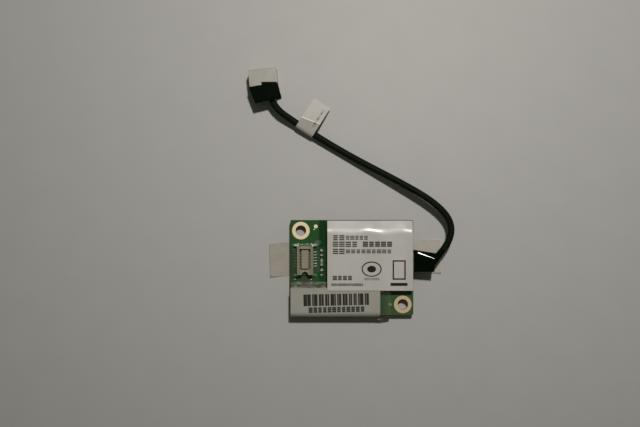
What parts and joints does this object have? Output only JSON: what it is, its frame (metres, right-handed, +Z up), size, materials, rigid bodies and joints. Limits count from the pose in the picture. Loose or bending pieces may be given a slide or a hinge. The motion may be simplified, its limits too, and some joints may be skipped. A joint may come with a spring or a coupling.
{
  "type": "laptop modem card",
  "caption": "Small green laptop modem card with labels, a board connector, a short black line lead with taped plugs, and a clear film strip below.",
  "frame": {"origin": "under the middle of the circuit board, on the surface that the card lies on", "axes": "+X along the board towards its line plug, +Y across the board towards the far end of the lead, +Z up, out of the labels"},
  "size_m": [0.0585, 0.0707, 0.0049],
  "materials": {
    "solder_mask": "glossy green solder mask on glass-epoxy laminate",
    "gold_plating": "pale satin gold plating",
    "connector_resin": "beige moulded resin",
    "tin_plating": "bright tin plating",
    "header_resin": "black moulded resin",
    "plug_nylon": "off-white moulded nylon",
    "black_tape": "glossy black tape, creased",
    "lead_sleeve": "satin black sleeve",
    "label_stock": "white satin label stock",
    "clear_film": "clear film, slightly milky",
    "black_epoxy": "matte black moulding compound",
    "ferrite": "dark grey sintered ferrite",
    "winding": "enamelled copper winding",
    "ceramic_tan": "tan ceramic",
    "resistor_glaze": "black glazed ceramic",
    "tantalum_resin": "ochre moulded resin"
  },
  "bodies": {
    "root": {"circuit_board": "solder_mask", "plated_hole_rings": "gold_plating", "gold_pads": "gold_plating", "connector_housing": "connector_resin", "connector_contacts": "tin_plating", "connector_anchors": "tin_plating", "line_header": "header_resin", "line_header_pins": "tin_plating", "line_header_tabs": "tin_plating", "line_plug_housing": "plug_nylon", "line_plug_terminals": "tin_plating", "line_plug_wrap": "black_tape", "line_cable": "lead_sleeve", "cable_flag": "label_stock", "jack_plug_housing": "plug_nylon", "jack_plug_terminals": "tin_plating", "jack_plug_wrap": "black_tape", "product_label": "label_stock", "barcode_label": "label_stock", "label_cover_film": "clear_film", "film_strip": "clear_film", "transformer_base": "black_epoxy", "transformer_leads": "tin_plating", "transformer_core": "ferrite", "transformer_coil": "winding", "surge_arrester": "black_epoxy", "surge_arrester_leads": "tin_plating", "bridge_rectifier": "black_epoxy", "bridge_rectifier_leads": "tin_plating", "line_chip": "black_epoxy", "line_fuse": "ceramic_tan", "line_fuse_ends": "tin_plating", "safety_capacitors": "ceramic_tan", "safety_capacitor_ends": "tin_plating", "transistors": "black_epoxy", "transistor_leads": "tin_plating", "tantalum_capacitors": "tantalum_resin", "tantalum_capacitor_ends": "tin_plating", "choke_base": "black_epoxy", "choke_core": "ferrite", "chip_resistors": "resistor_glaze", "chip_resistor_ends": "tin_plating", "chip_capacitors": "ceramic_tan", "chip_capacitor_ends": "tin_plating", "modem_chip": "black_epoxy", "modem_chip_leads": "tin_plating", "pillar_capacitors": "ceramic_tan", "pillar_capacitor_ends": "tin_plating", "underside_chips": "ceramic_tan", "underside_chip_ends": "tin_plating"}
  },
  "joints": []
}
